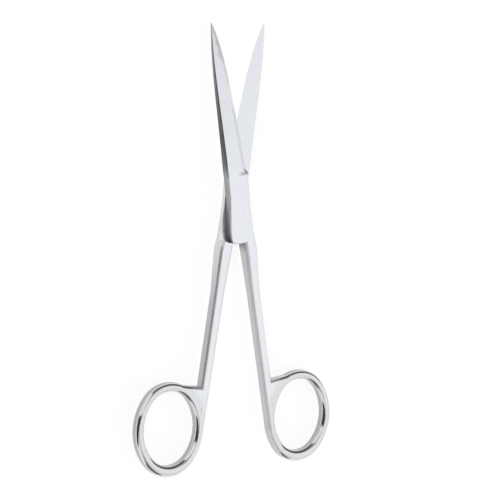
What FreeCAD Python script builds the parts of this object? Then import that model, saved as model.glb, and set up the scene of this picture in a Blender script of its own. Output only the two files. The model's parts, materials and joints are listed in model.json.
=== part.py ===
import FreeCAD, Part
import math
import os

import Sketcher

# Surgical scissors with finger rings, straight blades and two sharp points.
# Each half is drawn in its own frame as if the scissors were shut: the pivot is at the
# origin, the point is towards +Y, the joint plane is XY, and the metal of the blade is
# above it. The cutting edge, the shank and the ring are on the +X side.
# In the finished part the pair lies flat and open, and the back of the joint is at Z = 0.

DRIVING_SIZES = {
    # how the pair is put together
    "opening_angle": 19,
    "joint_half_thickness": 2.6,
    "running_gap": 0.1,
    # blade: reaches are measured from the pivot, widths to each side of the pivot's line
    "point_reach": 58.9,
    "neck_from_point": 4.9,
    "fore_from_point": 13.9,
    "belly_from_point": 29.9,
    "heel_reach": 10.6,
    "heel_runout": 1.5,
    "heel_spine": 2.9,
    "belly_spine": 2.25,
    "belly_edge": 4.4,
    "fore_spine": 1.65,
    "fore_edge": 3.1,
    "neck_spine": 0.85,
    "neck_edge": 1.55,
    "point_half_width": 0.1,
    "belly_thickness": 2,
    "fore_thickness": 1.3,
    "neck_thickness": 0.75,
    "point_thickness": 0.3,
    "edge_land": 0.12,
    "spine_chamfer": 0.45,
    "heel_bevel_width": 2.1,
    "belly_bevel_width": 1.9,
    "fore_bevel_width": 1.3,
    "neck_bevel_width": 0.7,
    "point_bevel_width": 0.06,
    "heel_face_fall": 0.15,
    "belly_face_fall": 0.35,
    "fore_face_fall": 0.25,
    "neck_face_fall": 0.15,
    "point_face_fall": 0.05,
    # lap joint
    "lap_radius": 10.9,
    "shoulder_clearance": 0.25,
    "lap_waist_reach": 4,
    "lap_waist": 3.2,
    "lap_swell": 1.4,
    "lap_flat": 3.4,
    "lap_corner_round": 1.3,
    "lap_round": 0.6,
    # edge side of the joint and shank, as one line that swells and narrows
    "lap_side": 4.35,
    "heel_swell": 0.75,
    "shoulder_swell": 0.5,
    "upper_narrowing": 0.25,
    "lower_narrowing": 0.5,
    "lap_side_reach": 8.8,
    "shoulder_reach": 13.2,
    "upper_reach": 27,
    "side_blend": 13,
    "shank_inner": 0.35,
    "shank_half_thickness": 1.9,
    "shank_taper_start": 12.5,
    "shank_taper_end": 27,
    "shank_round": 1.15,
    # finger ring
    "handle_reach": 86.1,
    "ring_side": 0.3,
    "ring_length": 29.9,
    "ring_width": 24.3,
    "ring_tilt": 10,
    "wire_at_end": 3.2,
    "wire_at_side": 2.9,
    "hole_raise": 0.35,
    "ring_half_thickness": 1.9,
    "ring_round": 1.35,
    "tail_cover": 0.25,
    "web_drop": 0.55,
    "web_blend": 8,
    # joint screw
    "screw_radius": 1.6,
    "screw_clearance": 0.05,
    "screw_head_radius": 2.7,
    "screw_head_recess": 0.3,
    "screw_head_clearance": 0.08,
    "screw_end_recess": 0.02,
    "slot_width": 0.7,
    "slot_depth": 0.65,
}

# how far a shape that cuts runs past the metal, and how near counts when edges are picked
OVERRUN = 1
NEAR = 0.1

# two edge rounds on the same wall may each take this share of its width
LARGEST_ROUND = 0.47

# an oval's end arcs are tighter than its half width by this share of what it is longer by,
# which keeps it close to an ellipse
OVAL_DRAW_IN = 0.55


class Size:
    """A number that also carries the text of the expression it comes from.

    Arithmetic on sizes gives the start value and the expression of a dimension at once.
    """

    def __init__(self, number, text):
        self.number = number
        self.text = text

    @staticmethod
    def of(value):
        return value if isinstance(value, Size) else Size(value, str(value))

    def combine(self, other, sign, number):
        return Size(number, f"({self.text} {sign} {other.text})")

    def __add__(self, other):
        other = Size.of(other)
        return self.combine(other, "+", self.number + other.number)

    def __sub__(self, other):
        other = Size.of(other)
        return self.combine(other, "-", self.number - other.number)

    def __mul__(self, other):
        other = Size.of(other)
        return self.combine(other, "*", self.number * other.number)

    def __truediv__(self, other):
        other = Size.of(other)
        return self.combine(other, "/", self.number / other.number)

    def __neg__(self):
        return Size(-self.number, f"(-{self.text})")

    def root(self):
        return Size(math.sqrt(self.number), f"sqrt({self.text})")

    def capped(self, limit):
        return Size(min(self.number, limit.number), f"min({self.text}; {limit.text})")


class Sizes:
    """The aliased cells of a spreadsheet, read as sizes by attribute."""

    def __init__(self, sheet):
        self.sheet = sheet

    def __getattr__(self, alias):
        return Size(float(self.sheet.get(alias)), f"{self.sheet.Name}.{alias}")

    def heel_edge(self):
        """Width of the blade on its edge side, where it leaves the joint."""
        return self.lap_side + self.heel_swell

    def ring_centre(self):
        """Middle of the finger ring's outline."""
        return self.ring_side + self.ring_width / 2, self.ring_length / 2 - self.handle_reach

    def web_top(self):
        """Level of the web's upper edge, a little below the top of the ring."""
        return self.ring_length - self.handle_reach - self.web_drop


def fill_sheet(doc):
    """Write the driving sizes, one to a row, and give each its alias."""
    sheet = doc.addObject("Spreadsheet::Sheet", "sizes")
    for row, (alias, value) in enumerate(DRIVING_SIZES.items(), start=1):
        sheet.set(f"A{row}", alias)
        sheet.set(f"B{row}", str(value))
        sheet.setAlias(f"B{row}", alias)
    doc.recompute()
    return sheet


def new_body(doc, name):
    body = doc.addObject("PartDesign::Body", name)
    body.Label = name
    return body


def origin_plane(body, role):
    return next(f for f in body.Origin.OriginFeatures if f.Role == role)


def new_sketch(body, name, role, offset=None):
    """A sketch on one of the body's own planes, moved along its normal by offset."""
    sketch = body.newObject("Sketcher::SketchObject", name)
    sketch.AttachmentSupport = (origin_plane(body, role), [""])
    sketch.MapMode = "FlatFace"
    if offset is not None:
        sketch.setExpression(".AttachmentOffset.Base.z", offset.text)
    return sketch


def bind(sketch, constraint, name, size):
    """Add a driving constraint under a name and tie it to its size."""
    index = sketch.addConstraint(constraint)
    sketch.renameConstraint(index, name)
    sketch.setExpression(f"Constraints.{name}", size.text)


def place_point(sketch, geometry, end, name, x, y):
    bind(sketch, Sketcher.Constraint("DistanceX", geometry, end, x.number), f"{name}_x", x)
    bind(sketch, Sketcher.Constraint("DistanceY", geometry, end, y.number), f"{name}_y", y)


def vector(x, y):
    return FreeCAD.Vector(x.number, y.number, 0)


def draw_outline(sketch, corners, rounded=None):
    """Close an outline through the corners with straight sides.

    Side i goes from corner i to the next one. Where rounded gives it a radius, the side
    is an arc that bulges to the left, or to the right if the radius is negative.
    """
    rounded = rounded or {}
    first = sketch.GeometryCount
    count = len(corners)
    for i, (x, y) in enumerate(corners):
        start, end = vector(x, y), vector(*corners[(i + 1) % count])
        if i in rounded:
            sketch.addGeometry(arc_between(start, end, rounded[i].number))
        else:
            sketch.addGeometry(Part.LineSegment(start, end))

    # an arc always runs anticlockwise, so one that bulges to the left starts at its far end
    backwards = {i for i, radius in rounded.items() if radius.number > 0}
    for i in range(count):
        follower = (i + 1) % count
        tail = 1 if i in backwards else 2
        head = 2 if follower in backwards else 1
        sketch.addConstraint(
            Sketcher.Constraint("Coincident", first + i, tail, first + follower, head))
    for i, (x, y) in enumerate(corners):
        place_point(sketch, first + i, 2 if i in backwards else 1, f"corner_{first + i}", x, y)
    for i, radius in rounded.items():
        radius = radius if radius.number > 0 else -radius
        bind(sketch, Sketcher.Constraint("Radius", first + i, radius.number),
             f"radius_{first + i}", radius)


def arc_between(start, end, radius):
    """An arc that bulges to the left of the way from start to end, or right if negative."""
    chord = end - start
    to_right = FreeCAD.Vector(chord.y, -chord.x, 0).normalize()
    depth = math.sqrt(radius ** 2 - (chord.Length / 2) ** 2)
    centre = start + chord * 0.5 + to_right * math.copysign(depth, radius)
    if radius > 0:
        start, end = end, start
    circle = Part.Circle(centre, FreeCAD.Vector(0, 0, 1), abs(radius))
    from_angle = math.atan2(start.y - centre.y, start.x - centre.x)
    to_angle = math.atan2(end.y - centre.y, end.x - centre.x)
    return Part.ArcOfCircle(circle, from_angle, to_angle)


def draw_oval(sketch, length, width):
    """An oval of four tangent arcs about the sketch's origin, its long way along Y."""
    long_half = length / 2
    wide_half = width / 2
    end_radius = wide_half - (long_half - wide_half) * OVAL_DRAW_IN
    rise = long_half - end_radius
    side_radius = (long_half * long_half + wide_half * wide_half - length * end_radius) / (
        (wide_half - end_radius) * 2)
    spread = side_radius - end_radius
    x = end_radius * (side_radius - wide_half) / spread
    y = rise * side_radius / spread
    draw_outline(sketch, [(x, y), (-x, y), (-x, -y), (x, -y)],
                 rounded={0: -end_radius, 1: -side_radius, 2: -end_radius, 3: -side_radius})


def draw_circle(sketch, radius):
    """A circle about the sketch's origin."""
    circle = sketch.addGeometry(
        Part.Circle(FreeCAD.Vector(), FreeCAD.Vector(0, 0, 1), radius.number))
    sketch.addConstraint(Sketcher.Constraint("Coincident", circle, 3, -1, 1))
    bind(sketch, Sketcher.Constraint("Radius", circle, radius.number), "radius", radius)


def pad(body, sketch, name, length, both_ways=False):
    feature = body.newObject("PartDesign::Pad", name)
    feature.Profile = sketch
    feature.Midplane = both_ways
    feature.setExpression("Length", length.text)
    return feature


def pocket_through(body, sketch, name):
    feature = body.newObject("PartDesign::Pocket", name)
    feature.Profile = sketch
    feature.Type = "ThroughAll"
    feature.Midplane = True
    return feature


def loft(body, name, sections, ruled):
    feature = body.newObject("PartDesign::AdditiveLoft", name)
    feature.Profile = sections[0]
    feature.Sections = sections[1:]
    feature.Ruled = ruled
    return feature


def round_edges(doc, body, name, radius, wanted):
    """Fillet the edges of the body's newest feature that the test picks."""
    doc.recompute()
    base = body.Tip
    edges = [f"Edge{i}" for i, edge in enumerate(base.Shape.Edges, start=1) if wanted(edge)]
    feature = body.newObject("PartDesign::Fillet", name)
    feature.Base = (base, edges)
    feature.setExpression("Radius", radius.text)
    return feature


def ease_edges(doc, body, name, radius, wanted):
    """Take edges off in three narrow flats, all tangent to a round of the radius.

    The middle flat is a chamfer, and its two edges are chamfered in turn.
    """
    eighth, sixteenth = math.tan(math.pi / 8), math.tan(math.pi / 16)
    chamfer_edges(doc, body, f"{name}_middle", radius * (1 - eighth), wanted)
    chamfer_edges(doc, body, f"{name}_sides", radius * (eighth - sixteenth), wanted)


def chamfer_edges(doc, body, name, size, wanted):
    doc.recompute()
    base = body.Tip
    edges = [f"Edge{i}" for i, edge in enumerate(base.Shape.Edges, start=1) if wanted(edge)]
    feature = body.newObject("PartDesign::Chamfer", name)
    feature.Base = (base, edges)
    feature.setExpression("Size", size.text)
    return feature


def middle_of(edge):
    return edge.valueAt((edge.FirstParameter + edge.LastParameter) / 2)


def is_upright(edge):
    """True where an edge runs straight along Z."""
    box = edge.BoundBox
    return box.XLength < 1e-6 and box.YLength < 1e-6


def between_faces(edge, half_thickness):
    """True for an edge of either outer face, where it meets a side wall."""
    lies_flat = edge.BoundBox.ZLength < half_thickness.number
    return lies_flat and abs(middle_of(edge).z) > half_thickness.number - NEAR


def make_blade(doc, s, side_name):
    """The ground blade: a loft through five sections, and the run-out of its bevel."""
    body = new_body(doc, f"{side_name}_blade")
    full = s.joint_half_thickness
    heel_edge = s.heel_edge()
    heel = blade_section(body, s, f"{side_name}_heel", s.heel_reach, s.heel_spine, full,
                         (heel_edge - s.lap_round, full), (heel_edge, full - s.lap_round))

    stations = {
        "bevelled": (s.heel_reach + s.heel_runout, s.heel_spine, heel_edge,
                     full, s.heel_bevel_width, s.heel_face_fall),
        "belly": (s.point_reach - s.belly_from_point, s.belly_spine, s.belly_edge,
                  s.belly_thickness, s.belly_bevel_width, s.belly_face_fall),
        "fore": (s.point_reach - s.fore_from_point, s.fore_spine, s.fore_edge,
                 s.fore_thickness, s.fore_bevel_width, s.fore_face_fall),
        "neck": (s.point_reach - s.neck_from_point, s.neck_spine, s.neck_edge,
                 s.neck_thickness, s.neck_bevel_width, s.neck_face_fall),
        "point": (s.point_reach, s.point_half_width, s.point_half_width,
                  s.point_thickness, s.point_bevel_width, s.point_face_fall),
    }
    sections = []
    for name, (reach, spine, edge, thickness, bevel, fall) in stations.items():
        corner = (edge - bevel, thickness - fall)
        cutting_edge = (edge, s.running_gap / 2 + s.edge_land)
        sections.append(blade_section(body, s, f"{side_name}_{name}", reach, spine,
                                      thickness, corner, cutting_edge))
    loft(body, f"{side_name}_bevel_runout", [heel, sections[0]], ruled=True)
    loft(body, f"{side_name}_blade_loft", sections, ruled=False)
    return body


def blade_section(body, s, name, reach, spine, thickness, corner, edge):
    """A section across the blade, flat underneath, with its corner at the spine taken off.

    The outer face ends at corner, and the bevel runs on from there down to edge.
    """
    inner = s.running_gap / 2
    chamfer = s.spine_chamfer * (thickness / s.joint_half_thickness)
    sketch = new_sketch(body, name, "XZ_Plane", -reach)
    draw_outline(sketch, [
        (-spine, inner),
        (-spine, thickness - chamfer),
        (chamfer - spine, thickness),
        corner,
        edge,
        (edge[0], inner),
    ])
    return sketch


def make_arm(doc, s, side_name):
    """The shank, with the edge side of the lap joint above its shoulder."""
    body = new_body(doc, f"{side_name}_arm")
    tail_end = s.ring_centre()[1]
    tail_side = s.ring_side + s.wire_at_side - s.tail_cover
    frame_side = s.heel_edge() + OVERRUN

    profile = new_sketch(body, f"{side_name}_arm_profile", "YZ_Plane")
    draw_profile(profile, s, s.heel_reach + OVERRUN, tail_end - OVERRUN)
    pad(body, profile, f"{side_name}_arm_pad", frame_side * 2, both_ways=True)

    # the outline is what stays, and everything between it and a wide frame is taken off
    outline = new_sketch(body, f"{side_name}_arm_outline", "XY_Plane")
    draw_outline(outline, [
        (s.shank_inner, s.heel_reach),
        (s.heel_edge(), s.heel_reach),
        (s.lap_side, Size.of(0)),
        (s.lap_side, -s.lap_side_reach),
        (s.lap_side + s.shoulder_swell, -s.shoulder_reach),
        (s.lap_side - s.upper_narrowing, -s.upper_reach),
        (s.lap_side - s.lower_narrowing, s.web_top()),
        (tail_side, tail_end),
        (s.shank_inner, tail_end),
    ])
    draw_outline(outline, [
        (-frame_side - OVERRUN, s.heel_reach + OVERRUN * 2),
        (frame_side + OVERRUN, s.heel_reach + OVERRUN * 2),
        (frame_side + OVERRUN, tail_end - OVERRUN * 2),
        (-frame_side - OVERRUN, tail_end - OVERRUN * 2),
    ])
    pocket_through(body, outline, f"{side_name}_arm_sides")
    round_edges(doc, body, f"{side_name}_side_blend", s.side_blend,
                lambda e: is_upright(e) and on_outer_side(middle_of(e), s))
    narrowest = tail_side - s.shank_inner
    round_edges(doc, body, f"{side_name}_arm_rounding",
                s.shank_round.capped(narrowest * LARGEST_ROUND),
                lambda e: e.BoundBox.YLength > NEAR and between_faces(e, s.shank_half_thickness))

    # the lap joint is milled down to the joint plane, round to the shoulder
    joint_plane = s.running_gap / 2
    shoulder = new_sketch(body, f"{side_name}_shoulder_outline", "XY_Plane", joint_plane)
    draw_circle(shoulder, s.lap_radius + s.shoulder_clearance)
    milled(body, shoulder, f"{side_name}_shoulder")
    heel_end = new_sketch(body, f"{side_name}_heel_end_outline", "XY_Plane", joint_plane)
    draw_outline(heel_end, [
        (s.lap_radius, Size.of(0)),
        (s.lap_radius, s.heel_reach + OVERRUN),
        (-s.lap_radius, s.heel_reach + OVERRUN),
        (-s.lap_radius, Size.of(0)),
    ])
    milled(body, heel_end, f"{side_name}_heel_end")
    return body


def milled(body, sketch, name):
    """A pocket from the sketch down through the back of the half."""
    feature = body.newObject("PartDesign::Pocket", name)
    feature.Profile = sketch
    feature.Type = "ThroughAll"
    return feature


def draw_profile(sketch, s, top, tail):
    """The arm seen from the side: below the joint both faces run in to the thinner shank."""
    full = s.joint_half_thickness
    thin = s.shank_half_thickness
    draw_outline(sketch, [
        (-s.shank_taper_start, full),
        (-s.shank_taper_end, thin),
        (tail, thin),
        (tail, -thin),
        (-s.shank_taper_end, -thin),
        (-s.shank_taper_start, -full),
        (top, -full),
        (top, full),
    ])


def on_outer_side(place, s):
    """True on the edge side of the joint and shank, between the heel and the web."""
    reaches = s.web_top().number + NEAR < place.y < s.heel_reach.number - NEAR
    return reaches and place.x > s.lap_side.number / 2


def make_lap(doc, s, side_name):
    """The spine side of the lap joint, which overlaps the other half."""
    body = new_body(doc, f"{side_name}_lap")
    joint_plane = s.running_gap / 2
    hidden_side = s.lap_side / 2
    flare = s.lap_waist + s.lap_swell
    hidden_end = -(s.lap_radius * s.lap_radius - hidden_side * hidden_side).root()
    flare_end = -(s.lap_radius * s.lap_radius - flare * flare).root()
    flat_start = flare_end + s.lap_flat
    outline = new_sketch(body, f"{side_name}_lap_outline", "XY_Plane", joint_plane)
    draw_outline(outline, [
        (hidden_side, hidden_end),
        (hidden_side, s.heel_reach),
        (-s.heel_spine, s.heel_reach),
        (-s.lap_waist, s.lap_waist_reach),
        (-flare, flat_start),
        (-flare, flare_end),
    ], rounded={5: -s.lap_radius})
    pad(body, outline, f"{side_name}_lap_pad", s.joint_half_thickness - joint_plane)

    def spine_side(edge, low, high):
        place = middle_of(edge)
        return is_upright(edge) and place.x < 0 and low - NEAR < place.y < high + NEAR

    round_edges(doc, body, f"{side_name}_lap_corner", s.lap_corner_round,
                lambda e: spine_side(e, flare_end.number, flare_end.number))
    round_edges(doc, body, f"{side_name}_lap_blend", s.side_blend,
                lambda e: spine_side(e, flat_start.number, s.lap_waist_reach.number))
    round_edges(doc, body, f"{side_name}_lap_rounding", s.lap_round,
                lambda e: on_open_rim(e, s, hidden_side.number))
    return body


def on_open_rim(edge, s, hidden_side):
    """True for an edge of the lap's outer face that no other part of the half covers."""
    box = edge.BoundBox
    on_face = box.ZMin > s.joint_half_thickness.number - NEAR
    against_arm = box.XMin > hidden_side - NEAR
    against_blade = box.YMin > s.heel_reach.number - NEAR
    return on_face and not against_arm and not against_blade


def make_bow(doc, s, side_name):
    """The finger ring: an oval of rounded wire, with the web that ties it to the shank."""
    body = new_body(doc, f"{side_name}_bow")
    centre_side, centre_level = s.ring_centre()
    web_top = s.web_top()
    thickness = s.ring_half_thickness * 2
    outer = new_sketch(body, f"{side_name}_ring_outline", "XY_Plane")
    lean(outer, s, Size.of(0))
    draw_oval(outer, s.ring_length, s.ring_width)
    pad(body, outer, f"{side_name}_ring_pad", thickness, both_ways=True)

    web = new_sketch(body, f"{side_name}_web_outline", "XY_Plane")
    wire_middle = s.ring_side + s.wire_at_side / 2
    draw_outline(web, [
        (wire_middle, web_top),
        (centre_side, web_top),
        (centre_side, centre_level),
        (wire_middle, centre_level),
    ])
    pad(body, web, f"{side_name}_web_pad", thickness, both_ways=True)
    round_edges(doc, body, f"{side_name}_web_blend", s.web_blend,
                lambda e: is_upright(e) and abs(middle_of(e).y - web_top.number) < NEAR
                and middle_of(e).x > wire_middle.number + NEAR)

    ring_round = s.ring_round.capped(s.wire_at_side * LARGEST_ROUND)
    round_edges(doc, body, f"{side_name}_ring_rounding", ring_round,
                lambda e: between_faces(e, s.ring_half_thickness))

    hole = new_sketch(body, f"{side_name}_hole_outline", "XY_Plane")
    lean(hole, s, s.hole_raise)
    draw_oval(hole, s.ring_length - s.wire_at_end * 2, s.ring_width - s.wire_at_side * 2)
    pocket_through(body, hole, f"{side_name}_hole")
    ease_edges(doc, body, f"{side_name}_hole_easing", ring_round, lambda e: on_hole_rim(e, s))
    return body


def on_hole_rim(edge, s):
    """True for a level edge that lies within the wire's middle line, so round the hole."""
    if edge.BoundBox.ZLength > NEAR:
        return False
    centre_side, centre_level = s.ring_centre()
    lean_angle = math.radians(s.ring_tilt.number)
    x = middle_of(edge).x - centre_side.number
    y = middle_of(edge).y - centre_level.number
    across = x * math.cos(lean_angle) - y * math.sin(lean_angle)
    along = x * math.sin(lean_angle) + y * math.cos(lean_angle)
    middle_width = (s.ring_width - s.wire_at_side).number / 2
    middle_length = (s.ring_length - s.wire_at_end).number / 2
    return math.hypot(across / middle_width, along / middle_length) < 1


def lean(sketch, s, raised):
    """Move a sketch's origin to the ring's centre and lean its long way outwards."""
    centre_side, centre_level = s.ring_centre()
    sketch.setExpression(".AttachmentOffset.Base.x", centre_side.text)
    sketch.setExpression(".AttachmentOffset.Base.y", (centre_level + raised).text)
    sketch.setExpression(".AttachmentOffset.Rotation.Angle", (-s.ring_tilt).text)


def make_bore(doc, s, side_name):
    """The plain or threaded hole for the screw, right through the lap."""
    bore = doc.addObject("Part::Cylinder", f"{side_name}_bore")
    bore.setExpression("Height", (s.joint_half_thickness * 4).text)
    bore.setExpression("Placement.Base.z", (-s.joint_half_thickness * 2).text)
    return bore


def make_countersink(doc, s, side_name):
    """The seat of the screw's head, cut into the outer face of the half."""
    mouth = s.screw_head_radius + s.screw_head_clearance + s.screw_head_recess + OVERRUN
    throat = s.screw_radius + s.screw_clearance
    height = mouth - throat
    seat = doc.addObject("Part::Cone", f"{side_name}_countersink")
    seat.setExpression("Radius1", throat.text)
    seat.setExpression("Radius2", mouth.text)
    seat.setExpression("Height", height.text)
    seat.setExpression("Placement.Base.z", (s.joint_half_thickness + OVERRUN - height).text)
    return seat


def fuse(doc, name, shapes):
    whole = doc.addObject("Part::MultiFuse", name)
    whole.Shapes = shapes
    whole.Refine = True
    return whole


def make_half(doc, s, side_name, screw_hole):
    """One half, still in its own frame: everything forged in one piece, less its hole."""
    pieces = [maker(doc, s, side_name) for maker in (make_arm, make_lap, make_blade, make_bow)]
    forging = fuse(doc, f"{side_name}_forging", pieces)
    half = doc.addObject("Part::Cut", f"{side_name}_half")
    half.Base = forging
    half.Tool = screw_hole
    half.Label = f"{side_name}_half"
    return half


def make_screw(doc, s):
    """A countersunk screw with a slotted head at the back and its end flush in front."""
    body = new_body(doc, "joint_screw")
    head_face = s.screw_head_recess - s.joint_half_thickness
    head_height = s.screw_head_radius - s.screw_radius
    end_face = s.joint_half_thickness - s.screw_end_recess
    axis = Size.of(0)
    profile = new_sketch(body, "screw_profile", "XZ_Plane")
    draw_outline(profile, [
        (axis, head_face),
        (s.screw_head_radius, head_face),
        (s.screw_radius, head_face + head_height),
        (s.screw_radius, end_face),
        (axis, end_face),
    ])
    turned = body.newObject("PartDesign::Revolution", "screw_turned")
    turned.Profile = profile
    turned.ReferenceAxis = (profile, ["V_Axis"])
    turned.Angle = 360
    slot = new_sketch(body, "screw_slot_outline", "XY_Plane", head_face)
    across = s.screw_head_radius + OVERRUN
    draw_outline(slot, [
        (-across, -s.slot_width / 2),
        (across, -s.slot_width / 2),
        (across, s.slot_width / 2),
        (-across, s.slot_width / 2),
    ])
    cut = body.newObject("PartDesign::Pocket", "screw_slot")
    cut.Profile = slot
    cut.Reversed = True
    cut.setExpression("Length", s.slot_depth.text)
    return body


def lay_open(piece, s, turned_over, direction):
    """Lift a piece onto the table plane and open it by half of the angle.

    The half at the back is turned over about the long axis first.
    """
    swing = FreeCAD.Rotation(FreeCAD.Vector(0, 0, 1), direction * s.opening_angle.number / 2)
    turn = FreeCAD.Rotation(FreeCAD.Vector(0, 1, 0), 180 if turned_over else 0)
    lift = FreeCAD.Vector(0, 0, s.joint_half_thickness.number)
    piece.Placement = FreeCAD.Placement(lift, swing * turn)


def check(doc):
    """Stop if any object of the document failed."""
    for item in doc.Objects:
        if "Invalid" in item.State or "Error" in item.State:
            raise RuntimeError(f"{item.Name} failed: {item.getStatusString()}")


def main():
    doc = FreeCAD.newDocument("scissors")
    s = Sizes(fill_sheet(doc))

    thread = make_bore(doc, s, "front")
    thread.setExpression("Radius", s.screw_radius.text)
    front = make_half(doc, s, "front", thread)

    clearance_hole = make_bore(doc, s, "rear")
    clearance_hole.setExpression("Radius", (s.screw_radius + s.screw_clearance).text)
    seat = make_countersink(doc, s, "rear")
    rear = make_half(doc, s, "rear", fuse(doc, "rear_screw_hole", [clearance_hole, seat]))

    screw = make_screw(doc, s)
    doc.recompute()
    lay_open(front, s, turned_over=False, direction=1)
    lay_open(rear, s, turned_over=True, direction=-1)
    lay_open(screw, s, turned_over=False, direction=1)
    doc.recompute()
    check(doc)

    os.makedirs("parts", exist_ok=True)
    for piece in (front, rear, screw):
        shape = piece.Shape
        if shape.isNull() or not shape.isValid() or len(shape.Solids) != 1:
            raise RuntimeError(f"{piece.Label} is not one valid solid")
        shape.exportStep(f"parts/{piece.Label}.step")
        box = shape.BoundBox
        print(piece.Label, f"{shape.Volume:.1f} mm3", box)


main()
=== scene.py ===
# %% [markdown]
# # Dressing a pair of suture scissors
#
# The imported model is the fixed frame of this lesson: two forged halves and the screw that
# they turn on, each at its real size and place. What is left to do is how they look. Bright
# steel has hardly any colour of its own, so most of the work goes into three things: smooth
# surfaces, the marks that grinding and polishing leave, and surroundings worth reflecting.

# %% Load the frame
import json
import math
from types import SimpleNamespace

import bmesh
import bpy
from mathutils import Matrix, Vector


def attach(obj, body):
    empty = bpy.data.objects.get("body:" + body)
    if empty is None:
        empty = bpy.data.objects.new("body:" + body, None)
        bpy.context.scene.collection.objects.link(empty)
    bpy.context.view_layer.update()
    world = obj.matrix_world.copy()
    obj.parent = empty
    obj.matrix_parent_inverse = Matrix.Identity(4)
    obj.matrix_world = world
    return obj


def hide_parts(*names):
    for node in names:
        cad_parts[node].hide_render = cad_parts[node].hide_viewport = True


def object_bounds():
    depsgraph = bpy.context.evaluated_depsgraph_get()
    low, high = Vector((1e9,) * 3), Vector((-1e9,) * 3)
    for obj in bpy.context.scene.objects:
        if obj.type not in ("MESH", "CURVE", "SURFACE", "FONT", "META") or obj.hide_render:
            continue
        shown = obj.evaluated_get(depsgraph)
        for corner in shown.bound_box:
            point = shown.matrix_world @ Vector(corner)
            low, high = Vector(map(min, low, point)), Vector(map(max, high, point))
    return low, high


MM = 0.001

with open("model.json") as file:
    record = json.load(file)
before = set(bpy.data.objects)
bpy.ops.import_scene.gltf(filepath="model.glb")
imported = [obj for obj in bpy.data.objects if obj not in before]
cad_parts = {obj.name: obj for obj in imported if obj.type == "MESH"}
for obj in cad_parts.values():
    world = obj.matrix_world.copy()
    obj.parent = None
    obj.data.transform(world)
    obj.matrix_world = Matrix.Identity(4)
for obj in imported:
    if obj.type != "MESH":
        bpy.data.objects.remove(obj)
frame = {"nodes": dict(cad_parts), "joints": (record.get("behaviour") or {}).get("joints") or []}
cad_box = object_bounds()

# %% [markdown]
# ## The two halves' own frames
#
# Both halves are one drawing, made once and then turned over for the back half. In a half's
# own frame the pivot is at the origin, the blade runs along +Y, its cutting edge, shank and
# ring are on the +X side, and the blade's metal is above the joint plane. Grinding marks
# follow that frame, not the world, so the way from one to the other is worked out first: it
# comes from the joint that the model states, and from how far it has still to close.

# %% Work out how each half lies
joint = frame["joints"][0]
pivot = Vector(joint["pos_m"])
half_opening = math.radians(-joint["range_deg"][0]) / 2
SIDES = {"front": 1, "rear": -1}  # which way each half turns as the pair opens


def half_frame(side):
    """The matrix that takes a half's own frame to its place in the open pair."""
    turn = Matrix.Rotation(SIDES[side] * half_opening, 4, "Z")
    flip = Matrix.Rotation(math.pi if side == "rear" else 0, 4, "Y")
    return Matrix.Translation(pivot) @ turn @ flip


print("half opening", round(math.degrees(half_opening), 2), "pivot", tuple(pivot))

# %% [markdown]
# ## The camera
#
# A long lens flattens perspective, and this photograph is nearly flat, so the lens is long
# and stands well back. The camera's turn, tilt and roll about the pivot were found by laying
# the model's outline over the photograph. The last step slides the camera sideways until the
# pivot falls on its own pixel, which keeps the shift at zero and other views centred.

# %% Place the camera
FRAME_PIXELS = 500
FOCAL_PIXELS = 1910
PIVOT_PIXEL = (235.975, 208.992)
CAMERA_DISTANCE = 600.8 * MM
CAMERA_YAW = math.radians(32)
CAMERA_PITCH = math.radians(6.261)
CAMERA_ROLL = math.radians(0.614)
SENSOR_WIDTH = 36
NEAREST_SEEN = 10 * MM


def camera_axes():
    """Right, up and backwards of the camera, as it looks at the pivot."""
    backwards = Vector((
        -math.sin(CAMERA_YAW) * math.cos(CAMERA_PITCH),
        math.sin(CAMERA_PITCH),
        math.cos(CAMERA_YAW) * math.cos(CAMERA_PITCH),
    ))
    right = Vector((0, 1, 0)).cross(backwards).normalized()
    up = backwards.cross(right)
    rolled_right = right * math.cos(CAMERA_ROLL) + up * math.sin(CAMERA_ROLL)
    rolled_up = up * math.cos(CAMERA_ROLL) - right * math.sin(CAMERA_ROLL)
    return rolled_right, rolled_up, backwards


def place_camera():
    """Stand the camera back along its own axis and slide it to fit the pivot's pixel."""
    right, up, backwards = camera_axes()
    metres_per_pixel = CAMERA_DISTANCE / FOCAL_PIXELS
    aside = (PIVOT_PIXEL[0] - FRAME_PIXELS / 2) * metres_per_pixel
    above = (FRAME_PIXELS / 2 - PIVOT_PIXEL[1]) * metres_per_pixel
    data = bpy.data.cameras.new("camera")
    data.sensor_width = SENSOR_WIDTH
    data.lens = FOCAL_PIXELS / FRAME_PIXELS * data.sensor_width
    data.clip_start = NEAREST_SEEN
    camera = bpy.data.objects.new("camera", data)
    camera.matrix_world = Matrix((right, up, backwards)).transposed().to_4x4()
    camera.location = pivot + backwards * CAMERA_DISTANCE - right * aside - up * above
    bpy.context.scene.collection.objects.link(camera)
    bpy.context.scene.camera = camera
    return camera


camera = place_camera()
standing = tuple(round(v, 3) for v in camera.location)
print("lens", round(camera.data.lens, 1), "mm, camera at", standing)

# %% [markdown]
# ## Sums as nodes
#
# A shader is a graph, and long sums in a graph are hard to read. Here a small class wraps a
# socket, so that `1 - mask` or `wave * 0.5` written in Python adds the Math node and the
# wires by itself. Every other node comes from one method, `node`, which sets what the node
# is before it fills or links its sockets. The same class serves materials, the world and
# Geometry Nodes, because all three are node trees. The commonest sum below is a mask: a
# ramp from 0 to 1, which then moves a value or a colour towards another one.


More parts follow.
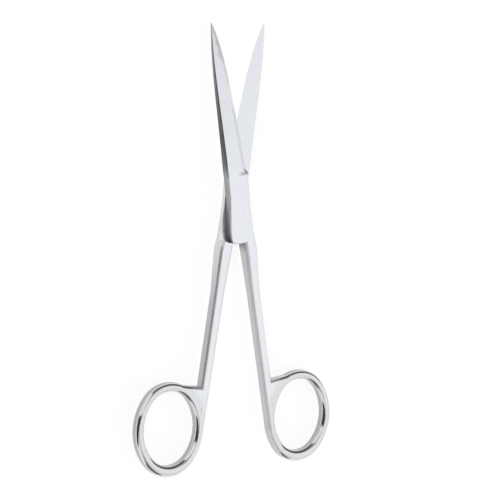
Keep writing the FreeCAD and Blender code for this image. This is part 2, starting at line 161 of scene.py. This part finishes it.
# %% A socket that can be added and multiplied
class Wire:
    """The output socket of a node, with arithmetic that adds Math nodes."""

    def __init__(self, graph, socket):
        self.graph = graph
        self.socket = socket

    def math(self, operation, *others):
        return self.graph.math(operation, self, *others)

    def __add__(self, other):
        return self.math("ADD", other)

    def __radd__(self, other):
        return self.graph.math("ADD", other, self)

    def __sub__(self, other):
        return self.math("SUBTRACT", other)

    def __rsub__(self, other):
        return self.graph.math("SUBTRACT", other, self)

    def __mul__(self, other):
        return self.math("MULTIPLY", other)

    def __rmul__(self, other):
        return self.graph.math("MULTIPLY", other, self)

    def __truediv__(self, other):
        return self.math("DIVIDE", other)

    def __rtruediv__(self, other):
        return self.graph.math("DIVIDE", other, self)

    def __abs__(self):
        return self.math("ABSOLUTE")

    def towards(self, target, mask):
        """This value where the mask is 0, the target where it is 1."""
        return self + mask * (target - self)


class Graph:
    """A node tree under construction."""

    def __init__(self, tree):
        self.tree = tree

    def node(self, kind, settings=None, inputs=None, output=0):
        """Add a node, set it up, fill or link its sockets, and hand back one output."""
        node = self.tree.nodes.new(kind)
        for name, value in (settings or {}).items():
            if name == "stops":
                set_stops(node.color_ramp, value)
            else:
                setattr(node, name, value)
        for key, value in (inputs or {}).items():
            if isinstance(value, Wire):
                self.tree.links.new(value.socket, node.inputs[key])
            else:
                node.inputs[key].default_value = value
        return Wire(self, node.outputs[output]) if len(node.outputs) else node

    def math(self, operation, *values):
        kind = "ShaderNodeMath"
        return self.node(kind, {"operation": operation}, dict(enumerate(values)))

    def ramp(self, value, low, high):
        """0 where the value is at or below low, 1 where it is at or above high."""
        return self.node("ShaderNodeMapRange", {"interpolation_type": "SMOOTHSTEP", "clamp": True},
                         {"Value": value, "From Min": low, "From Max": high})

    def ramp_mm(self, value, low, high):
        """The same for a length, with low and high in millimetres."""
        return self.ramp(value, low * MM, high * MM)

    def blend(self, share, first, second):
        """A colour that goes from the first to the second."""
        return self.node("ShaderNodeMix", {"data_type": "RGBA"},
                         {0: share, 6: first, 7: second}, output=2)

    def parts(self, vector):
        """The three numbers of a vector."""
        separate = self.node("ShaderNodeSeparateXYZ", None, {0: vector})
        outputs = separate.socket.node.outputs
        return [Wire(self, outputs[i]) for i in range(3)]


def set_stops(ramp, stops):
    """Give a colour ramp its stops, a list of (place, grey)."""
    while len(ramp.elements) > 1:
        ramp.elements.remove(ramp.elements[-1])
    for i, (place, grey) in enumerate(stops):
        element = ramp.elements[0] if i == 0 else ramp.elements.new(place)
        element.position = place
        element.color = (grey, grey, grey, 1)


def new_material(name):
    """An empty material, and the graph to fill it."""
    material = bpy.data.materials.new(name)
    material.use_nodes = True
    material.node_tree.nodes.clear()
    return material, Graph(material.node_tree)


def sine(degrees):
    return math.sin(math.radians(degrees))


def cosine(degrees):
    return math.cos(math.radians(degrees))


print("node helpers ready")

# %% [markdown]
# ## The studio
#
# Polished steel is a mirror: it shows the room, and a plain white room would leave the rings
# without form. This room has what a product photographer builds: one large white softbox
# overhead on the right, which the flat faces mirror, three white reflector cards standing
# round the pair, and dark walls between them, darkest on the left. The walls draw the dark
# streaks along the rings, and the cards break those streaks. The ceiling is paler, so that
# the faces don't go black when the pair is seen from elsewhere. The room is a sum on the
# direction that a ray leaves in, so it needs no picture. The camera itself sees it white.

# %% Build the room
WALL_GREY = 0.16
LEFT_WALL_GREY = 0.07
LEFT_WALL_SHARE = (0.55, 0.9)
CEILING_GREY = 0.55
CEILING_DEGREES = (38, 62)
SOFTBOX_LEVEL = 0.72
SOFTBOX_TOWARDS = Vector((0.527, -0.109, 0.843))
SOFTBOX_DEGREES = (21, 31)
CARD_LEVEL = 1.15
CARDS = ((-34, 38), (138, 22), (-132, 12))  # each card's direction and half width, degrees
CARD_EDGE_DEGREES = 6
SMALLEST_SQUARE = 0.0001


def light_room():
    """A world whose light depends only on the direction."""
    world = bpy.data.worlds.new("room")
    bpy.context.scene.world = world
    world.use_nodes = True
    world.node_tree.nodes.clear()
    graph = Graph(world.node_tree)
    direction = graph.node("ShaderNodeTexCoord", output="Generated")
    east, north, height = graph.parts(direction)
    level_length = (1 - height * height).math("MAXIMUM", SMALLEST_SQUARE).math("SQRT")

    low, high = CEILING_DEGREES
    level = WALL_GREY + graph.ramp(height, sine(low), sine(high)) * (CEILING_GREY - WALL_GREY)
    level = level.towards(LEFT_WALL_GREY, graph.ramp(0 - east / level_length, *LEFT_WALL_SHARE))
    for degrees, half_width in CARDS:
        facing = (east * cosine(degrees) + north * sine(degrees)) / level_length
        edge = cosine(half_width + CARD_EDGE_DEGREES)
        level = level.towards(CARD_LEVEL, graph.ramp(facing, edge, cosine(half_width)))

    x, y, z = SOFTBOX_TOWARDS
    inner, outer = SOFTBOX_DEGREES
    near_softbox = east * x + north * y + height * z
    level = level.towards(SOFTBOX_LEVEL, graph.ramp(near_softbox, cosine(outer), cosine(inner)))
    strength = level.towards(1, graph.node("ShaderNodeLightPath", output="Is Camera Ray"))
    background = graph.node("ShaderNodeBackground", None, {"Strength": strength})
    graph.node("ShaderNodeOutputWorld", None, {"Surface": background})


light_room()
print("cards at", [degrees for degrees, half_width in CARDS], "degrees")

# %% [markdown]
# ## The floor and the lamp
#
# The floor is a sheet of white paper just under the lowest face of the pair. Paper lit like
# the steel would come out grey, so part of what the camera and the mirrors see of it is its
# own white, and the rest is lit paper, which keeps the soft shadow of the scissors. The lamp
# stands in the softbox's place and is as wide as its bright middle. The faces mirror both,
# so their brightness is the sum of the two. A lamp's size matters more than its power here:
# the larger it is, the softer the shadow's edge.

# %% Lay the floor and hang the lamp
FLOOR_SIDE = 6.0
FLOOR_COLOUR = (0.86, 0.86, 0.865, 1)
FLOOR_WHITE = 1.36
FLOOR_WHITE_SHARE = 0.6
FLOOR_GAP = 0.02 * MM
LAMP_DISTANCE = 1.1
LAMP_SIDE = 0.85
LAMP_WATTS = 0.9


def floor_material():
    """Lit paper, with a share of plain white for the camera and for mirrors."""
    material, graph = new_material("floor_paper")
    paper = graph.node("ShaderNodeBsdfDiffuse", None, {"Color": FLOOR_COLOUR})
    white = graph.node("ShaderNodeEmission", None, {"Strength": FLOOR_WHITE})
    path = graph.node("ShaderNodeLightPath").socket.node.outputs
    seen = Wire(graph, path["Is Camera Ray"])
    for ray in ("Is Glossy Ray", "Is Transmission Ray"):
        seen = seen.math("MAXIMUM", Wire(graph, path[ray]))
    surface = graph.node("ShaderNodeMixShader", None,
                         {0: seen * FLOOR_WHITE_SHARE, 1: paper, 2: white})
    graph.node("ShaderNodeOutputMaterial", None, {"Surface": surface})
    return material


def lay_floor():
    """One large square, a hair under the pair."""
    half = FLOOR_SIDE / 2
    mesh = bpy.data.meshes.new("floor")
    corners = [(-half, -half, 0), (half, -half, 0), (half, half, 0), (-half, half, 0)]
    mesh.from_pydata(corners, [], [(0, 1, 2, 3)])
    mesh.materials.append(floor_material())
    floor = bpy.data.objects.new("floor", mesh)
    floor.location.z = cad_box[0][2] - FLOOR_GAP
    bpy.context.scene.collection.objects.link(floor)


def hang_lamp():
    """A square lamp that faces the pivot from the softbox's direction."""
    data = bpy.data.lights.new("softbox", "AREA")
    data.size = LAMP_SIDE
    data.energy = LAMP_WATTS
    lamp = bpy.data.objects.new("softbox", data)
    lamp.location = pivot + SOFTBOX_TOWARDS * LAMP_DISTANCE
    lamp.rotation_euler = SOFTBOX_TOWARDS.to_track_quat("Z", "Y").to_euler()
    bpy.context.scene.collection.objects.link(lamp)


lay_floor()
hang_lamp()
bpy.context.scene.view_settings.view_transform = "Standard"
print("lamp", LAMP_SIDE, "m wide at", LAMP_DISTANCE, "m")

# %% [markdown]
# ## Where each finish lies
#
# Surgical scissors are forged, ground, and then finished in stages, so one half carries
# several finishes. Separate materials would need the mesh cut along their borders. One
# material that works out where a point is, and which way the surface faces there, gives
# borders that fade as a grinder's do. Each mask below is 1 on its zone and 0 off it. Places
# are in millimetres of the half's own frame, and the way a face looks is given by the parts
# of its normal: a flat face has a height part of 1 and a side wall has one of 0.

# %% Find the zones of one half
RING_CENTRE = Vector((12.45, -71.15, 0)) * MM
RING_LEAN = math.radians(-10)
RING_HALF_WIDTH = 12.2 * MM
RING_HALF_LENGTH = 15 * MM
RING_BORDER = (0.99, 1.12)
SHANK_BORDER = (-12, -10.5)
INNER_SIDE_BORDER = (3, 4.5)
JOINT_SIDE_BORDER = (4, 12)
BLADE_BORDER = (9, 16)
BEVEL_BORDER = (11, 12.5)
FACET_START, FACET_END, FACET_INNER = (10, 10.4), (12.2, 12.8), (2, 2.8)
# Where the painted shade at the heel lies, in millimetres.
HEEL_SHADE_LEVEL = 10.95
HEEL_SHADE_BORDER, HEEL_SHADE_INNER = (0.25, 0.8), (0.6, 3.2)
FACES_OUT, FACES_IN = (-0.2, 0.2), (-0.3, -0.02)
BEVEL_FACES_OUT, FACET_FACES_POINT = (0.12, 0.3), (0.13, 0.35)
WALL_TO_FACE = (0.3, 0.75)
ROUNDING_FROM, ROUNDING_TO = (0.3, 0.6), (0.9, 0.99)
NEARLY_FLAT = (0.93, 0.999)


def in_own_frame(graph, side, output):
    """A point's place ("Object") or facing ("Normal"), in a half's own frame."""
    to_half = half_frame(side).inverted()
    shift = to_half.translation if output == "Object" else (0, 0, 0)
    return graph.node("ShaderNodeMapping", {"vector_type": "POINT"}, {
        "Vector": graph.node("ShaderNodeTexCoord", output=output),
        "Location": shift, "Rotation": to_half.to_euler()})


def on_ring(graph, x, y):
    """1 on a half's finger ring, 0 on its shank."""
    aside = x - RING_CENTRE.x
    along = y - RING_CENTRE.y
    wide = (aside * math.cos(RING_LEAN) + along * math.sin(RING_LEAN)) / RING_HALF_WIDTH
    long = (along * math.cos(RING_LEAN) - aside * math.sin(RING_LEAN)) / RING_HALF_LENGTH
    return 1 - graph.ramp((wide * wide + long * long).math("SQRT"), *RING_BORDER)


def find_zones(graph, place, facing):
    """The masks of one half, by name, with the level along it and how flat it lies."""
    x, y = graph.parts(place)[:2]
    facing_x, facing_y, facing_z = graph.parts(facing)
    flatness = abs(facing_z)
    outward = graph.ramp(facing_x, *FACES_OUT)
    on_blade = graph.ramp_mm(y, *BLADE_BORDER)

    on_shank = 1 - graph.ramp_mm(y, *SHANK_BORDER)
    inside = (1 - graph.ramp(facing_x, *FACES_IN)) * (1 - graph.ramp_mm(x, *INNER_SIDE_BORDER))
    inside = inside * on_shank * (1 - graph.ramp(flatness, *NEARLY_FLAT))
    polished = on_ring(graph, x, y) * (1 - inside)

    # The side walls, which carry the painted shade of the walls.
    wall = (1 - graph.ramp(flatness, *WALL_TO_FACE)) * (1 - polished)
    beside_joint = wall * (1 - outward) * (1 - on_shank)
    beside_joint = beside_joint * (1 - graph.ramp_mm(y, *JOINT_SIDE_BORDER))

    bevel = graph.ramp(facing_x, *BEVEL_FACES_OUT) * graph.ramp_mm(y, *BEVEL_BORDER)
    bevel = bevel * (1 - wall)
    facet = graph.ramp(facing_y, *FACET_FACES_POINT) * graph.ramp_mm(x, *FACET_INNER)
    facet = facet * graph.ramp_mm(y, *FACET_START) * (1 - graph.ramp_mm(y, *FACET_END))
    # The painted shade at the heel: a dark patch where the bevel runs out.
    mark = 1 - graph.ramp_mm(abs(y - HEEL_SHADE_LEVEL * MM), *HEEL_SHADE_BORDER)
    mark = mark * graph.ramp_mm(x, *HEEL_SHADE_INNER)

    rounding = graph.ramp(flatness, *ROUNDING_FROM) * (1 - graph.ramp(flatness, *ROUNDING_TO))
    buffed = rounding * (1 - bevel) * (1 - on_blade)
    return SimpleNamespace(
        level=y, flatness=flatness, outward=outward, on_blade=on_blade, inside=inside,
        polished=polished, wall=wall, beside_joint=beside_joint, bevel=bevel, facet=facet,
        mark=mark, buffed=buffed)


print("ring centre in its half's frame", tuple(round(v / MM, 2) for v in RING_CENTRE), "mm")

# %% [markdown]
# ## The steel's colour
#
# The flat faces and the bevels have a satin finish, whose fine lines run the way the wheel
# ran: along the blade on the face and across it on the bevel. The side walls are drawn in
# darker greys that are painted shade, standing in for shade and dark reflections: the spine
# of the blade is the darkest, the wall beside the joint comes next, and the outsides of the
# shanks are pale. The blade's faces are drawn a little darker than the joint and shank, as
# painted shade too. The rounded edges of shank and joint are buffed, and the rings are
# polished bright, with painted shade making the wire's sides darker than its top. At the
# heel, where the bevel begins, a small dark patch is painted shade for the step where the
# bevel runs out. A metal's base colour tints what it mirrors, so these colours say how much
# of the room each finish gives back.

# %% Mix the colours
SATIN = (0.88, 0.9, 0.945, 1)
SATIN_LINE = (0.84, 0.86, 0.905, 1)
LINE_CONTRAST = (0.3, 0.7)
# Painted shade: the blade's faces are drawn at this share of the joint's and shank's brightness.
BLADE_PAINTED_SHADE_SHARE = 0.97
BEVEL_SATIN = (0.95, 0.955, 0.97, 1)
BUFFED = (0.94, 0.945, 0.955, 1)
POLISH = (0.76, 0.765, 0.775, 1)
# Painted shade: the ring wire's sides are drawn this much darker than its top.
POLISH_SIDE_PAINTED_SHADE = (0.42, 0.425, 0.435, 1)
SIDE_TO_TOP = (0.1, 0.6)
# The grey of the painted shade at the heel.
HEEL_PAINTED_SHADE_GREY = (0.47, 0.47, 0.49, 1)
WALL_SPAN = (-60, 60)
# Painted shade: greys along the side walls, from stops in millimetres, standing in for shade and
# dark reflections.
SPINE_WALL_PAINTED_SHADE = ((-50, 0.62), (-14, 0.62), (-11, 0.25), (-5, 0.33), (3, 0.48), (11, 0.36),
              (14, 0.18), (22, 0.08), (34, 0.15), (45, 0.26), (58, 0.45))
OUTER_WALL_PAINTED_SHADE = ((-50, 0.5), (-30, 0.52), (-12, 0.74), (58, 0.8))


def grey_along(graph, level, stops):
    """A grey that changes along the half, from stops given in millimetres."""
    low, high = WALL_SPAN
    share = (level - low * MM) / ((high - low) * MM)
    places = [((y - low) / (high - low), grey) for y, grey in stops]
    return graph.node("ShaderNodeValToRGB", {"stops": places}, {"Fac": share})


def satin_colour(graph, lines):
    return graph.blend(graph.ramp(lines, *LINE_CONTRAST), SATIN_LINE, SATIN)


def half_colour(graph, zone, lines):
    """The colours of a half's finishes and its painted shade, laid over each other."""
    # Painted shade: the blade is drawn a little darker than the rest.
    blade_shade = 1 - zone.on_blade * (1 - BLADE_PAINTED_SHADE_SHARE)
    shade = graph.node("ShaderNodeCombineColor", None,
                       {"Red": blade_shade, "Green": blade_shade, "Blue": blade_shade})
    colour = graph.node("ShaderNodeMix", {"data_type": "RGBA", "blend_type": "MULTIPLY"},
                        {0: 1.0, 6: satin_colour(graph, lines), 7: shade}, output=2)
    colour = graph.blend(zone.bevel, colour, BEVEL_SATIN)
    # The painted shade of the side walls, darkest along the spine.
    painted_wall_shade = graph.blend(zone.outward, grey_along(graph, zone.level, SPINE_WALL_PAINTED_SHADE),
                              grey_along(graph, zone.level, OUTER_WALL_PAINTED_SHADE))
    colour = graph.blend(zone.wall, colour, painted_wall_shade)
    colour = graph.blend(zone.buffed, colour, BUFFED)
    colour = graph.blend(zone.facet, colour, BEVEL_SATIN)
    # The painted shade at the heel.
    colour = graph.blend(zone.mark, colour, HEEL_PAINTED_SHADE_GREY)
    # The ring's polish, with painted shade making its sides darker than its top.
    polish_and_side_shade = graph.blend(graph.ramp(zone.flatness, *SIDE_TO_TOP), POLISH_SIDE_PAINTED_SHADE, POLISH)
    return graph.blend(zone.polished, colour, polish_and_side_shade)


print("greys along the spine", [grey for level, grey in SPINE_WALL_PAINTED_SHADE])

# %% [markdown]
# ## The steel's roughness
#
# Roughness is what tells satin from polish: the rougher the steel, the more of the room each
# point mixes. The same noise that colours the lines also varies the roughness and lifts the
# surface by a few thousandths of a millimetre, so that a line glints as it does in real
# light. A noise that is stretched by its mapping makes the lines, and an even one makes the
# clouds that handling leaves. The wall beside the joint and the facet at the heel are given
# as partly not metal: they stand for a coarse, dull cut that a smooth metal can't show.

# %% Mix the steel of one half
ALONG_LINES = (9000, 160, 9000)
ACROSS_LINES = (260, 9000, 260)
CLOUDS = (190, 190, 190)
FINE_DETAIL, SOFT_DETAIL, DETAIL_SHARE = 3.0, 2.0, 0.6
ROUGHNESS = 0.27
ROUGHER = {
    "lines": 0.16, "clouds": 0.1, "wall": 0.1, "inside": 0.1, "buffed": 0.2,
    "buffed outside": -0.12, "bevel": -0.12, "bevel near the point": 0.35, "facet": 0.45,
}
BEVEL_COARSENS = (28, 45)
POLISH_ROUGHNESS, POLISH_CLOUDS = 0.1, 0.04
DULL = {"beside joint": 0.6, "facet": 0.5}
POLISH_SMOOTHS = 0.97
BUMP_STRENGTH = 0.1
BUMP_DEPTH = 0.02 * MM


def grain(graph, place, scale, detail=FINE_DETAIL):
    """Noise stretched along the axis whose scale is small."""
    stretched = graph.node("ShaderNodeMapping", None, {"Vector": place, "Scale": scale})
    return graph.node("ShaderNodeTexNoise", None, {
        "Vector": stretched, "Scale": 1.0, "Detail": detail, "Roughness": DETAIL_SHARE})


def finish_steel(graph, colour, metal, roughness, height):
    """Close a steel material, with its marks as tiny bumps."""
    bump = graph.node("ShaderNodeBump", None, {
        "Height": height, "Strength": BUMP_STRENGTH, "Distance": BUMP_DEPTH})
    steel = graph.node("ShaderNodeBsdfPrincipled", None, {
        "Base Color": colour, "Metallic": metal, "Roughness": roughness, "Normal": bump})
    graph.node("ShaderNodeOutputMaterial", None, {"Surface": steel})


def half_roughness(graph, zone, lines, cloud):
    """How rough a half is, from its lines, its clouds and its zones."""
    add = ROUGHER
    rough = ROUGHNESS + (lines - 0.5) * add["lines"] + (cloud - 0.5) * add["clouds"]
    rough = rough + zone.wall * add["wall"] + zone.inside * add["inside"]
    rough = rough + zone.buffed * (add["buffed"] + zone.outward * add["buffed outside"])
    near_point = graph.ramp_mm(zone.level, *BEVEL_COARSENS)
    rough = rough + zone.bevel * (near_point * add["bevel near the point"] + add["bevel"])
    rough = rough + zone.facet * add["facet"]
    return rough.towards(POLISH_ROUGHNESS + (cloud - 0.5) * POLISH_CLOUDS, zone.polished)


def half_steel(side):
    material, graph = new_material(f"{side}_steel")
    place = in_own_frame(graph, side, "Object")
    zone = find_zones(graph, place, in_own_frame(graph, side, "Normal"))
    lines = grain(graph, place, ALONG_LINES).towards(grain(graph, place, ACROSS_LINES), zone.bevel)
    cloud = grain(graph, place, CLOUDS, SOFT_DETAIL)
    finish_steel(
        graph,
        colour=half_colour(graph, zone, lines),
        metal=1 - zone.beside_joint * DULL["beside joint"] - zone.facet * DULL["facet"],
        roughness=half_roughness(graph, zone, lines, cloud),
        height=lines * (1 - zone.polished * POLISH_SMOOTHS),
    )
    print(material.name, len(material.node_tree.nodes), "nodes")
    return material


steels = {side: half_steel(side) for side in SIDES}

# %% [markdown]
# ## The finger ring's wire
#
# A finger ring is a round wire bent round an oval. Both the oval and the wire's section
# follow a rule, so Geometry Nodes make it: a flat grid is wrapped round the oval one way and
# round the wire the other way. The outline and the hole are ovals of four tangent arcs, and
# the same compass direction is taken on both, so the wire lies between them and can be
# thicker at the ends than at the sides. The section is a superellipse, a shape between a
# circle and a square, because the polishing wheel leaves the wire a little flat. On the
# shank's side the wire is a little thinner, so that it sinks into the forging and leaves no
# crease there. A swept curve would do for a wire of one thickness, but not for this one.

# %% Write the ring as a tree of nodes
RING_SIZES = {
    "Outline Length": 29.98, "Outline Width": 24.38, "Hole Length": 23.4, "Hole Width": 18.4,
    "Hole Raise": 0.35, "Hole Draw Aside": 0.06, "Thickness": 3.84, "Squareness": 2.55,
    "Draw In": 0.55, "Sink Beside Shank": 0.02,
}
RING_STEPS = {"Steps Round": 241, "Steps Across": 65}
SHANK_DIRECTION = (-0.87, 0.5)
SHANK_SHARE = (0.2, 0.7)
SEAM_DISTANCE = 0.002 * MM


def oval_point(graph, towards_x, towards_y, length, width, draw_in):
    """Where an oval of four tangent arcs faces a direction."""
    long_half = length * 0.5
    wide_half = width * 0.5
    end_radius = wide_half - (long_half - wide_half) * draw_in
    rise = long_half - end_radius
    side_radius = (long_half * long_half + wide_half * wide_half - length * end_radius) / (
        (wide_half - end_radius) * 2)
    inset = side_radius - wide_half
    joint_x = end_radius * inset / (side_radius - end_radius)
    on_side = abs(towards_x).math("GREATER_THAN", (joint_x + inset) / side_radius)
    side_x = towards_x * side_radius - towards_x.math("SIGN") * inset
    end_x = towards_x * end_radius
    end_y = towards_y * end_radius + towards_y.math("SIGN") * rise
    return end_x.towards(side_x, on_side), end_y.towards(towards_y * side_radius, on_side)


def rounded_power(value, power):
    """A power that keeps the value's sign."""
    return value.math("SIGN") * abs(value).math("POWER", power)


def ring_tree():
    """The tree of nodes, with its sizes, steps and material as named inputs."""
    tree = bpy.data.node_groups.new("finger_ring", "GeometryNodeTree")
    graph = Graph(tree)
    for name in RING_SIZES:
        tree.interface.new_socket(name, in_out="INPUT", socket_type="NodeSocketFloat")
    for name in RING_STEPS:
        tree.interface.new_socket(name, in_out="INPUT", socket_type="NodeSocketInt")
    tree.interface.new_socket("Steel", in_out="INPUT", socket_type="NodeSocketMaterial")
    tree.interface.new_socket("Geometry", in_out="OUTPUT", socket_type="NodeSocketGeometry")
    outputs = graph.node("NodeGroupInput").socket.node.outputs
    given = {socket.name: Wire(graph, socket) for socket in outputs if socket.name}

    grid = graph.node("GeometryNodeMeshGrid", None, {
        "Size X": math.tau, "Size Y": math.tau,
        "Vertices X": given["Steps Round"], "Vertices Y": given["Steps Across"]})
    round_angle, across_angle = graph.parts(graph.node("GeometryNodeInputPosition"))[:2]
    towards_x = round_angle.math("COSINE")
    towards_y = round_angle.math("SINE")
    outer_x, outer_y = oval_point(graph, towards_x, towards_y, given["Outline Length"],
                                  given["Outline Width"], given["Draw In"])
    hole_x, hole_y = oval_point(graph, towards_x, towards_y, given["Hole Length"],
                                given["Hole Width"], given["Draw In"])
    hole_x = hole_x - given["Hole Draw Aside"]
    hole_y = hole_y + given["Hole Raise"]

    power = 2 / given["Squareness"]
    out = 0.5 + rounded_power(across_angle.math("COSINE"), power) * 0.5
    up = rounded_power(across_angle.math("SINE"), power)
    shank_x, shank_y = SHANK_DIRECTION
    beside_shank = graph.ramp(towards_y * shank_y + towards_x * shank_x, *SHANK_SHARE)
    up = up * (1 - beside_shank * given["Sink Beside Shank"])
    place = graph.node("ShaderNodeCombineXYZ", None, {
        "X": hole_x.towards(outer_x, out) * MM,
        "Y": hole_y.towards(outer_y, out) * MM,
        "Z": up * given["Thickness"] * (0.5 * MM)})
    wire = graph.node("GeometryNodeSetPosition", None, {"Geometry": grid, "Position": place})
    wire = graph.node("GeometryNodeMergeByDistance", None,
                      {"Geometry": wire, "Distance": SEAM_DISTANCE})
    wire = graph.node("GeometryNodeRealizeInstances", None, {"Geometry": wire})
    wire = graph.node("GeometryNodeSetMaterial", None,
                      {"Geometry": wire, "Material": given["Steel"]})
    graph.node("NodeGroupOutput", None, {"Geometry": wire})
    return tree


finger_ring = ring_tree()
print("ring tree:", len(finger_ring.nodes), "nodes")

# %% [markdown]
# ## Two rings from one tree
#
# The tree is run once for each half, with that half's own steel. The modifier's inputs are
# set before it is first evaluated, its result becomes a plain mesh, and the mesh is moved to
# where the ring sits on its shank: its long way leans outwards by ten degrees.

# %% Make the two rings

def plain_mesh(thing, name):
    """What an object looks like with its modifiers, as a mesh."""
    depsgraph = bpy.context.evaluated_depsgraph_get()
    mesh = bpy.data.meshes.new_from_object(thing.evaluated_get(depsgraph))
    mesh.name = name
    return mesh


def make_ring(side):
    """One ring as a plain mesh, in place on its half."""
    name = f"{side}_ring"
    ring = bpy.data.objects.new(name, bpy.data.meshes.new(name))
    bpy.context.scene.collection.objects.link(ring)
    modifier = ring.modifiers.new("wire", "NODES")
    modifier.node_group = finger_ring
    values = {**RING_SIZES, **RING_STEPS, "Steel": steels[side]}
    for item in finger_ring.interface.items_tree:
        if item.in_out == "INPUT":
            modifier[item.identifier] = values[item.name]
    mesh = plain_mesh(ring, name)
    ring.modifiers.clear()
    ring.data = mesh
    on_shank = Matrix.Translation(RING_CENTRE) @ Matrix.Rotation(RING_LEAN, 4, "Z")
    mesh.transform(half_frame(side) @ on_shank)
    return ring


rings = {side: make_ring(side) for side in SIDES}
print("rings:", {side: len(ring.data.polygons) for side, ring in rings.items()}, "faces")

# %% [markdown]
# ## One forging each
#
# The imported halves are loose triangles, so light would show each one. A merged copy shares
# its corners. The ring's wire is then united with the copy by a Boolean modifier, because
# blade, shank and ring are one forging and have to be one closed mesh. Shading the result
# smooth would round the flat faces too, so edges that really turn are marked sharp, and the
# normals are weighted by face size, which keeps each flat face flat up to its rounding.

# %% Unite each half with its ring
SHARP_ANGLE = math.radians(28)
MERGE_DISTANCE = 0.0005 * MM


def merged_copy(node_name, name, material):
    """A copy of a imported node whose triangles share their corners."""
    mesh = bpy.data.meshes.new(name)
    work = bmesh.new()
    work.from_mesh(frame["nodes"][node_name].data)
    bmesh.ops.remove_doubles(work, verts=work.verts, dist=MERGE_DISTANCE)
    for face in work.faces:
        face.material_index = 0
    work.to_mesh(mesh)
    work.free()
    mesh.materials.clear()
    mesh.materials.append(material)
    copy = bpy.data.objects.new(name, mesh)
    bpy.context.scene.collection.objects.link(copy)
    return copy


def unite(thing, other):
    """Replace a thing's mesh by its union with another, which is used up."""
    modifier = thing.modifiers.new("unite", "BOOLEAN")
    modifier.operation = "UNION"
    modifier.solver = "EXACT"
    modifier.object = other
    mesh = plain_mesh(thing, thing.name)
    thing.modifiers.clear()
    thing.data = mesh
    bpy.data.objects.remove(other)


def shade(thing):
    """Smooth shading that keeps real edges and flat faces."""
    work = bmesh.new()
    work.from_mesh(thing.data)
    for face in work.faces:
        face.smooth = True
    for edge in work.edges:
        edge.smooth = not (edge.is_manifold and edge.calc_face_angle() > SHARP_ANGLE)
    open_edges = sum(not edge.is_manifold for edge in work.edges)
    work.to_mesh(thing.data)
    work.free()
    modifier = thing.modifiers.new("weights", "WEIGHTED_NORMAL")
    modifier.keep_sharp = True
    mesh = plain_mesh(thing, thing.name)
    thing.modifiers.clear()
    thing.data = mesh
    print(thing.name, len(mesh.polygons), "faces,", open_edges, "open edges")


for side in SIDES:
    node_name = f"{side}_half"
    half = merged_copy(node_name, f"{side}_half_finished", steels[side])
    unite(half, rings[side])
    shade(half)
    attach(half, side)
    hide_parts(node_name)

# %% [markdown]
# ## The screw
#
# The joint screw is turned on a lathe, so fine rings of tool marks run round its slotted head,
# which sits sunk in the back. Its other end was ground off together with the front face of
# the joint, and there it has that face's satin finish, so that it hardly shows. One material
# does both, and tells the two ends apart by their height.

# %% Finish the screw
TURNED = (0.74, 0.75, 0.77, 1)
TURNED_LINE = (0.64, 0.65, 0.67, 1)
TURNING_SCALE = 1800.0
GROUND_END = (2.2, 2.5)
SCREW_MARKS_ROUGHER = 0.14


def screw_steel():
    material, graph = new_material("screw_steel")
    turned_place = graph.node("ShaderNodeTexCoord", output="Object")
    place = in_own_frame(graph, "front", "Object")
    ground = graph.ramp_mm(graph.parts(place)[2], *GROUND_END)
    turning = graph.node("ShaderNodeTexWave", {"wave_type": "RINGS", "rings_direction": "Z"},
                         {"Vector": turned_place, "Scale": TURNING_SCALE, "Distortion": 1.0})
    lines = grain(graph, place, ALONG_LINES)
    marks = turning.towards(lines, ground)
    turned = graph.blend(turning, TURNED_LINE, TURNED)
    finish_steel(
        graph,
        colour=graph.blend(ground, turned, satin_colour(graph, lines)),
        metal=1.0,
        roughness=ROUGHNESS + (marks - 0.5) * SCREW_MARKS_ROUGHER,
        height=marks,
    )
    return material


screw = merged_copy("joint_screw", "joint_screw_finished", screw_steel())
shade(screw)
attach(screw, "front")
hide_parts("joint_screw")
